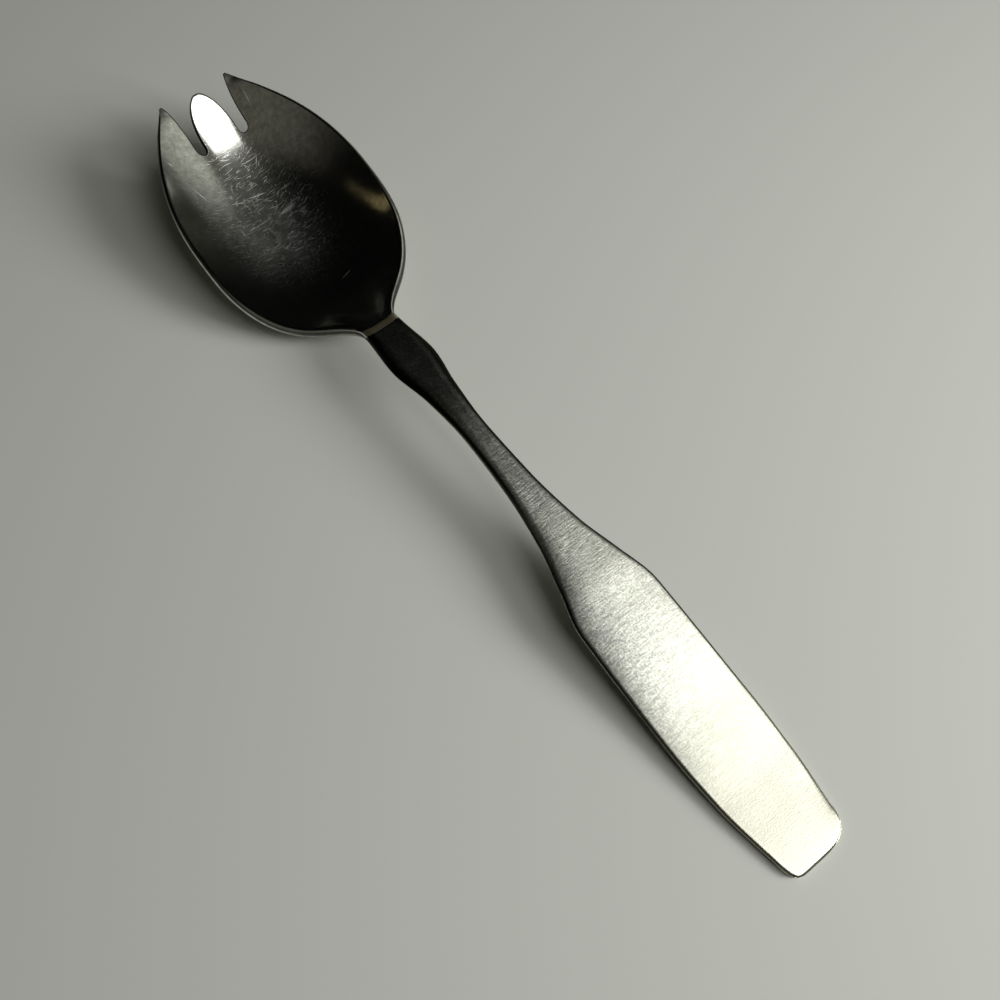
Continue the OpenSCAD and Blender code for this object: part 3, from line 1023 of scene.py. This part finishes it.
# Stretches over which the painted lip reflection, the painted edge shade, the blunted tips and the painted
# left shade come and go, in millimetres
LIP_COMES, LIP_GOES = (-1.2, -0.95), (0.05, 0.4)
EDGE_SHADE_GOES = (0.12, 0.28)
TIP_COMES = (68.3, 69.4)
LEFT_SHADE_RISES, LEFT_SHADE_COMES, LEFT_SHADE_GOES, LEFT_SHADE_SHARE = (9.0, 11.0), (50.0, 56.0), (61.5, 64.5), 0.75
# The rim's own wall gets this share of the painted edge shade, which ends this far from the edge
WALL_SHARE, WALL_REACH = 0.9, 0.016


def painted_lip_reflection(tree):
    """Share of straw-coloured painted reflection: a band along the lip of the dish, read from the gap to that
    lip.
    """
    ahead = attribute(tree, "lip_gap")
    return product(tree, ramp(tree, ahead, *LIP_COMES, 0.0, 1.0), ramp(tree, ahead, *LIP_GOES, 1.0, 0.0))


def painted_edge_shade(tree):
    """Share of painted edge shade: a dark line beside the slots and tips, or on the wall of the rim where
    that is more.
    """
    line = ramp(tree, attribute(tree, "slot_gap"), *EDGE_SHADE_GOES, 1.0, 0.0)
    return strongest(tree, line, product(tree, use(tree, rolled_edge, reach=WALL_REACH), WALL_SHARE))


def painted_left_shade(tree, x, y):
    """Share of painted shade: high on the left side of the dish, where it darkens a reflection, fading out
    towards both its ends.
    """
    height_share = ramp(tree, y, *LEFT_SHADE_RISES, 0.0, LEFT_SHADE_SHARE)
    back_share = ramp(tree, x, *LEFT_SHADE_COMES, 0.0, 1.0)
    front_share = ramp(tree, x, *LEFT_SHADE_GOES, 1.0, 0.0)
    return product(tree, height_share, front_share, back_share)


def polished_steel():
    """Mirror polish: roughness = polish + haze + scratches + lip band + edge shade band + blunted tips."""
    material, tree, shader, place = bare_steel("polished_steel")
    x, y, _ = parts_of(tree, place)
    fine = dish_scratches(tree, place)
    haze, smudged = dish_haze(tree, place)
    inside = rest_of(tree, use(tree, rolled_edge, reach=CLEAN_EDGE))
    lip = product(tree, painted_lip_reflection(tree), inside)
    edge_shade = painted_edge_shade(tree)
    blunted = ramp(tree, x, *TIP_COMES, 0.0, TIP_ROUGH)
    roughness = total(tree, product(tree, haze, inside), product(tree, fine, SCRATCH_ROUGH),
                      product(tree, lip, LIP_ROUGH), product(tree, edge_shade, EDGE_SHADE_ROUGH), blunted, POLISH)
    tint = blended(tree, smudged, STEEL, SMUDGE)
    tint = blended(tree, fine, tint, WORN)
    # Painted reflection: a straw-coloured band along the lip
    tint = blended(tree, lip, tint, LIP_REFLECTION_TINT)
    # Painted shade high on the left side, over a reflection
    tint = blended(tree, painted_left_shade(tree, x, y), tint, LEFT_SHADE_TINT)
    # Painted shade along the slots, the tips and the rim's wall
    tint = blended(tree, edge_shade, tint, EDGE_SHADE_TINT)
    finish_steel(tree, shader, tint, roughness, product(tree, fine, GROOVE))
    return material


polished = polished_steel()
print("polished steel has", len(polished.node_tree.nodes), "nodes")

# %% [markdown]
# ## Painted shade beside the handle's edges
#
# A dark line of painted shade lies along the rolled corner beside the handle's face, where that corner
# shows dark reflections. It is widest along the neck and fades towards the blunt end. The edge gap is
# negative on the underside, which keeps the line to the upper corner.

# %% Painted corner shade
# Width of the painted corner shade in millimetres on the blade and at the waist, and how much wider it gets
# up to the collar
CORNER_SHADE_BLADE, CORNER_SHADE_WAIST, CORNER_SHADE_COLLAR = 0.4, 0.7, 0.9
# It starts this far from the blunt end with this strength
CORNER_SHADE_FROM, CORNER_SHADE_LEAST = 4.0, 0.5
# Share of the width that is fully dark, and the clean wall outside it, in millimetres
CORNER_SHADE_CORE, CORNER_SHADE_WALL = 0.45, 0.03


def from_end(x):
    """A place counted from the blunt end, given from the middle of the spork, as the materials count it."""
    return START_X + x


def painted_corner_shade(tree, x):
    """Share of painted shade: full over a core share of its width, then fading out, and none on the wall."""
    gap = attribute(tree, "edge_gap")
    width = total(tree, ramp(tree, x, from_end(SHOULDER_X), from_end(WAIST_X), CORNER_SHADE_BLADE, CORNER_SHADE_WAIST),
                  ramp(tree, x, from_end(WAIST_X), from_end(COLLAR_X), 0.0, CORNER_SHADE_COLLAR))
    strength = ramp(tree, x, from_end(CORNER_SHADE_FROM), from_end(SHOULDER_X), CORNER_SHADE_LEAST, 1.0)
    inner = ramp(tree, calc(tree, "DIVIDE", gap, width), CORNER_SHADE_CORE, 1.0, 1.0, 0.0)
    outer = ramp(tree, gap, 0.0, CORNER_SHADE_WALL, 0.0, 1.0)
    return product(tree, inner, outer, strength)


print("mill skin starts", round(from_end(CORNER_SHADE_FROM), 2), "mm from the middle of the spork")

# %% [markdown]
# ## Satin steel of the handle
#
# The handle was left satin. Its blade carries fine scratches every way, the neck is brushed straight
# across, and the stretch by the collar keeps the pebbled skin that the press left. A satin face spreads the
# light widely, so it glows where it leans to the lamp and falls off softly along the neck. Wear brings out
# bright steel on a dull ground, and a painted highlight of bright steel lies on the right shoulder, where
# the lamp's glow reaches further up. The blunt end is a plain creamy tint: partly even wear, partly the
# painted cream of the washed-out highlight there.

# %% Satin steel
DULL = (0.265, 0.27, 0.248, 1.0)
RUBBED = (0.83, 0.84, 0.72, 1.0)
# Creamy end tint: partly even wear, partly the painted tone of the washed-out highlight
END_WEAR_AND_HIGHLIGHT = (0.55, 0.549, 0.445, 1.0)
# Tint of the painted shade along the handle's upper rolled corner
CORNER_SHADE_TINT = (0.03, 0.03, 0.027, 1.0)
# Each layer: turn in degrees, spread in radians, cell in millimetres, stretch, half width in millimetres
# and share
HANDLE_SCRATCHES = [
    (-80, 0.9, 0.3, 7.0, 0.035, 1.0),
    (-62, 1.4, 0.42, 6.0, 0.042, 0.95),
    (-20, 2.2, 0.6, 4.5, 0.045, 0.9),
]
# Painted highlight of bright steel on the right shoulder, about this place and over this size, in millimetres
BRIGHT_MIDDLE, BRIGHT_SIZE, BRIGHT_CORE = (-26.0, -2.8, 5.0), (19.0, 8.0, 30.0), 0.1
# The neck's brushing comes from before to after the handle's end, and the collar's pebbles about the waist
NECK_COMES, COLLAR_COMES = (-14.0, 2.0), (-6.0, 9.0)
# The blade's wear shows from this far from the blunt end on, and has this share before that
WEAR_FROM, WEAR_LEAST = 11.0, 0.15
# Share of rubbed steel: its start, and what scratches, brushing, pebbles and the painted shoulder highlight
# add to it
WEAR_START, WEAR_LINES, WEAR_BRUSH, WEAR_PEBBLES, WEAR_HIGHLIGHT = -0.25, 0.85, 0.35, 0.55, 0.38
# Roughness of the rolled edges, and what the face, its scratches, its clouds and the collar add to it
EDGE_ROUGH, FACE_ROUGH, LINE_ROUGH, CLOUD_ROUGH, COLLAR_ROUGH = 0.2, 0.19, 0.06, 0.05, -0.13
# Relief in millimetres: scratches, brushing and its gain on the neck, pebbles and their gain by the collar
LINE_RISE, BRUSH_RISE, NECK_GAIN, PEBBLE_RISE, COLLAR_GAIN = -0.004, 0.003, 0.008, 0.004, 0.01
# What the collar adds to the brushing's share, and the reach of the smooth rolled edge in millimetres
COLLAR_BRUSH, SMOOTH_EDGE = -0.8, 0.9


def satin_steel():
    """Satin: roughness = rolled edge + (face + scratches + clouds, less by the collar) on the face."""
    material, tree, shader, place = bare_steel("satin_steel")
    x, y, _ = parts_of(tree, place)
    neck = ramp(tree, x, *(from_end(HANDLE_LEN + reach) for reach in NECK_COMES), 0.0, 1.0)
    collar = ramp(tree, x, *(from_end(WAIST_X + reach) for reach in COLLAR_COMES), 0.0, 1.0)
    lines = scratched(tree, place, HANDLE_SCRATCHES)
    brushed = use(tree, grain, vector=place, long=0.22, wide=1.6, contrast=0.22)
    brush = product(tree, brushed, calc(tree, "MULTIPLY_ADD", collar, COLLAR_BRUSH, 1.0))
    pebbles = use(tree, grain, vector=place, long=0.26, wide=0.26, contrast=0.28)
    clouds = use(tree, grain, vector=place, long=3.5, wide=2.5, contrast=0.3)
    face = rest_of(tree, use(tree, rolled_edge, reach=SMOOTH_EDGE))
    texture = total(tree, product(tree, lines, LINE_ROUGH), product(tree, clouds, CLOUD_ROUGH),
                    product(tree, collar, COLLAR_ROUGH), FACE_ROUGH)
    roughness = total(tree, product(tree, texture, face), EDGE_ROUGH)
    height = total(tree, product(tree, lines, LINE_RISE),
                   product(tree, brush, calc(tree, "MULTIPLY_ADD", neck, NECK_GAIN, BRUSH_RISE)),
                   product(tree, pebbles, calc(tree, "MULTIPLY_ADD", collar, COLLAR_GAIN, PEBBLE_RISE)))
    # Painted highlight: bright steel laid on the right shoulder
    shoulder_highlight = patch(tree, place, BRIGHT_MIDDLE, BRIGHT_SIZE, BRIGHT_CORE, WEAR_HIGHLIGHT, 0.0)
    wear = total(tree, product(tree, lines, WEAR_LINES), product(tree, brush, WEAR_BRUSH),
                 product(tree, pebbles, WEAR_PEBBLES), shoulder_highlight, WEAR_START)
    worn = ramp(tree, total(tree, x, y), from_end(WEAR_FROM), from_end(SHOULDER_X), WEAR_LEAST, 1.0)
    # Plain creamy end: partly even wear, partly a painted highlight tone
    tint = blended(tree, worn, END_WEAR_AND_HIGHLIGHT, blended(tree, wear, DULL, RUBBED))
    # Painted shade: a dark line along the upper rolled corner
    tint = blended(tree, painted_corner_shade(tree, x), tint, CORNER_SHADE_TINT)
    finish_steel(tree, shader, tint, roughness, product(tree, height, face))
    return material


satin = satin_steel()
print("satin steel has", len(satin.node_tree.nodes), "nodes")

# %% [markdown]
# ## One piece, two finishes
#
# Each face of the mesh takes one finish: polished ahead of the lip of the dish, satin behind it. The piece
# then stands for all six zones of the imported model, and moves with its only body.

# %% Finishes
# The satin ends this far behind the lip, in millimetres
LIP_BACK = 1.25


def paint_zones():
    """Gives each face the polished finish ahead of the lip, and the satin one behind it."""
    count = len(spork.data.polygons)
    centre_of = np.zeros(3 * count)
    spork.data.polygons.foreach_get("center", centre_of)
    x, y, _ = centre_of.reshape(-1, 3).T / MM
    behind = x - START_X < BACK_X - LIP_BACK + lip_turn(y)
    spork.data.polygons.foreach_set("material_index", behind.astype(np.int32))
    return int(behind.sum())


spork.data.materials.append(polished)
spork.data.materials.append(satin)
print("satin faces:", paint_zones())
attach(spork, "root")
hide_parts("handle", "neck", "bowl", "left_tine", "middle_tine", "right_tine")

# %% [markdown]
# ## Floor
#
# The floor is a plain pale sheet, wide enough to reach past every view. It is matt, because a glossy floor
# would mirror the panels.

# %% Floor
FLOOR_SIZE = 6.0
FLOOR_TINT = (0.425, 0.432, 0.393, 1.0)
FLOOR_ROUGH = 0.9


def lay_floor():
    """A large square at the height of the table, worked out as a grid of two points a side."""
    across = np.array([-1, 1]) * FLOOR_SIZE / 2
    x, y = np.meshgrid(across, across, indexing="ij")
    corners = np.stack([x, y, np.zeros_like(x)], -1).reshape(-1, 3)
    mesh = bpy.data.meshes.new("floor")
    mesh.from_pydata(corners, [], [(0, 2, 3, 1)])
    floor = bpy.data.objects.new("floor", mesh)
    bpy.context.scene.collection.objects.link(floor)
    material = bpy.data.materials.new("pale_floor")
    material.use_nodes = True
    shader = material.node_tree.nodes["Principled BSDF"]
    shader.inputs["Base Color"].default_value = FLOOR_TINT
    shader.inputs["Roughness"].default_value = FLOOR_ROUGH
    mesh.materials.append(material)
    return floor


floor = lay_floor()
print(floor.name, "is", FLOOR_SIZE, "m wide")

# %% [markdown]
# ## Two soft panels
#
# Both panels stand off the end of the handle. The middle tine mirrors the high one and the satin blade
# spreads it, while the neck and the floor of the dish face the dark part of the room. That panel is written
# by its upper edge, because that edge is what ends the bright patch in the dish. The low one stands further
# to the right, out of the mirror's sight, and throws the shadow along the left side. It is close and
# strong, so a grid in front of it keeps its light off the floor just below it.

# %% Panels
# Places and sizes in metres; radiance in watts per square metre and steradian
PANEL_TOP_X, PANEL_TOP_Z, PANEL_TILT = -0.138, 0.45, math.radians(32)
PANEL_LOW_Y, PANEL_HIGH_Y, PANEL_HEIGHT, PANEL_RADIANCE = -0.23, 0.02, 0.25, 4.35
LOW_WAY = Vector((-0.66, -0.58, 0.48)).normalized()
LOW_DISTANCE, LOW_WIDTH, LOW_HEIGHT = 0.5, 0.22, 0.2
LOW_RADIANCE, LOW_SPREAD = 25.0, math.radians(50)
NO_GRID = math.pi / 2


def hang_panel(name, middle_of, side_way, rise, width, height, radiance, half_spread=NO_GRID):
    """A soft panel spanned by side_way and rise, shining along -(side_way x rise).

    Its power is pi * area * radiance. A grid in front of it keeps its light within half_spread of that way,
    and (tan s - s) / tan s of the power.
    """
    data = bpy.data.lights.new(name, "AREA")
    data.shape = "RECTANGLE"
    data.size = width
    data.size_y = height
    data.spread = 2 * half_spread
    data.energy = math.pi * width * height * radiance * (1 - half_spread / math.tan(half_spread))
    panel = bpy.data.objects.new(name, data)
    turn = Matrix((side_way, rise, side_way.cross(rise))).transposed()
    panel.matrix_world = Matrix.Translation(middle_of) @ turn.to_4x4()
    bpy.context.scene.collection.objects.link(panel)
    return panel


def hang_high_panel():
    """The panel that the middle tine mirrors, sloping down from its upper edge."""
    side_way = Vector((0, -1, 0))
    rise = Vector((math.cos(PANEL_TILT), 0, math.sin(PANEL_TILT)))
    middle_of = Vector((PANEL_TOP_X, (PANEL_LOW_Y + PANEL_HIGH_Y) / 2, PANEL_TOP_Z)) - rise * PANEL_HEIGHT / 2
    width = PANEL_HIGH_Y - PANEL_LOW_Y
    return hang_panel("high_panel", middle_of, side_way, rise, width, PANEL_HEIGHT, PANEL_RADIANCE)


def hang_low_panel():
    """The panel that throws the shadow to the left, square to its way."""
    side_way = Vector((0, 0, 1)).cross(LOW_WAY).normalized()
    rise = LOW_WAY.cross(side_way)
    middle_of = LOW_WAY * LOW_DISTANCE
    return hang_panel("low_panel", middle_of, side_way, rise, LOW_WIDTH, LOW_HEIGHT, LOW_RADIANCE, LOW_SPREAD)


panels = [hang_high_panel(), hang_low_panel()]
print("soft panels give", [round(panel.data.energy, 2) for panel in panels], "W")

# %% [markdown]
# ## The room
#
# A mirror needs something to mirror. The room is dark overhead and ahead of the tines, and paler towards
# the handle, most of all on the right, where the left tine looks. A little light lies along the left
# horizon, for the rim, and one small wooden thing stands ahead on the left, for the brown fleck in the
# dish. All of it is a plain gradient over the directions of the sky, so it stays where it is from every
# view.

# %% Room
OVERHEAD = (0.002, 0.002, 0.002, 1.0)
FAR_WALL = (0.1, 0.095, 0.08, 1.0)
NEAR_WALL = (0.52, 0.53, 0.48, 1.0)
HORIZON = (0.2, 0.2, 0.18, 1.0)
WOOD = (0.2, 0.16, 0.082, 1.0)
# Stretches of x, y or z of a direction over which each part comes or goes
PALE_GOES, NEAR_GOES = (-0.25, 0.35), (-0.74, -0.6)
HORIZON_COMES, HORIZON_GOES = (0.3, 0.7), (0.02, 0.2)
# High up the dark part reaches further back, by this much of x
HIGH_COMES, HIGH_SHIFT = (0.6, 1.0), 0.28
# Direction of the wooden thing, and the cosines at its rim and where its tint is full
WOOD_WAY, WOOD_COMES = (0.45, 0.735, 0.507), (0.9976, 0.9992)


def facing(tree, ray, way):
    """Cosine between a ray and a direction."""
    node = tree.nodes.new("ShaderNodeVectorMath")
    node.operation = "DOT_PRODUCT"
    feed(tree, node.inputs[0], ray)
    feed(tree, node.inputs[1], way)
    return node.outputs["Value"]


def dim_room():
    """World tint: from overhead to wall by x, from far to near wall by y, then the smaller things over it."""
    world = bpy.data.worlds.new("studio")
    bpy.context.scene.world = world
    world.use_nodes = True
    tree = world.node_tree
    ray = tree.nodes.new("ShaderNodeTexCoord").outputs["Generated"]
    x, y, z = parts_of(tree, ray)
    wall = blended(tree, ramp(tree, y, *NEAR_GOES, 1.0, 0.0), FAR_WALL, NEAR_WALL)
    shifted = total(tree, x, ramp(tree, z, *HIGH_COMES, 0.0, HIGH_SHIFT))
    tint = blended(tree, ramp(tree, shifted, *PALE_GOES, 1.0, 0.0), OVERHEAD, wall)
    low = product(tree, ramp(tree, y, *HORIZON_COMES, 0.0, 1.0), ramp(tree, z, *HORIZON_GOES, 1.0, 0.0))
    tint = blended(tree, low, tint, HORIZON)
    tint = blended(tree, ramp(tree, facing(tree, ray, WOOD_WAY), *WOOD_COMES, 0.0, 1.0), tint, WOOD)
    tree.links.new(tint, tree.nodes["Background"].inputs["Color"])
    return world


bpy.context.scene.view_settings.view_transform = "Standard"
print("room has", len(dim_room().node_tree.nodes), "nodes")
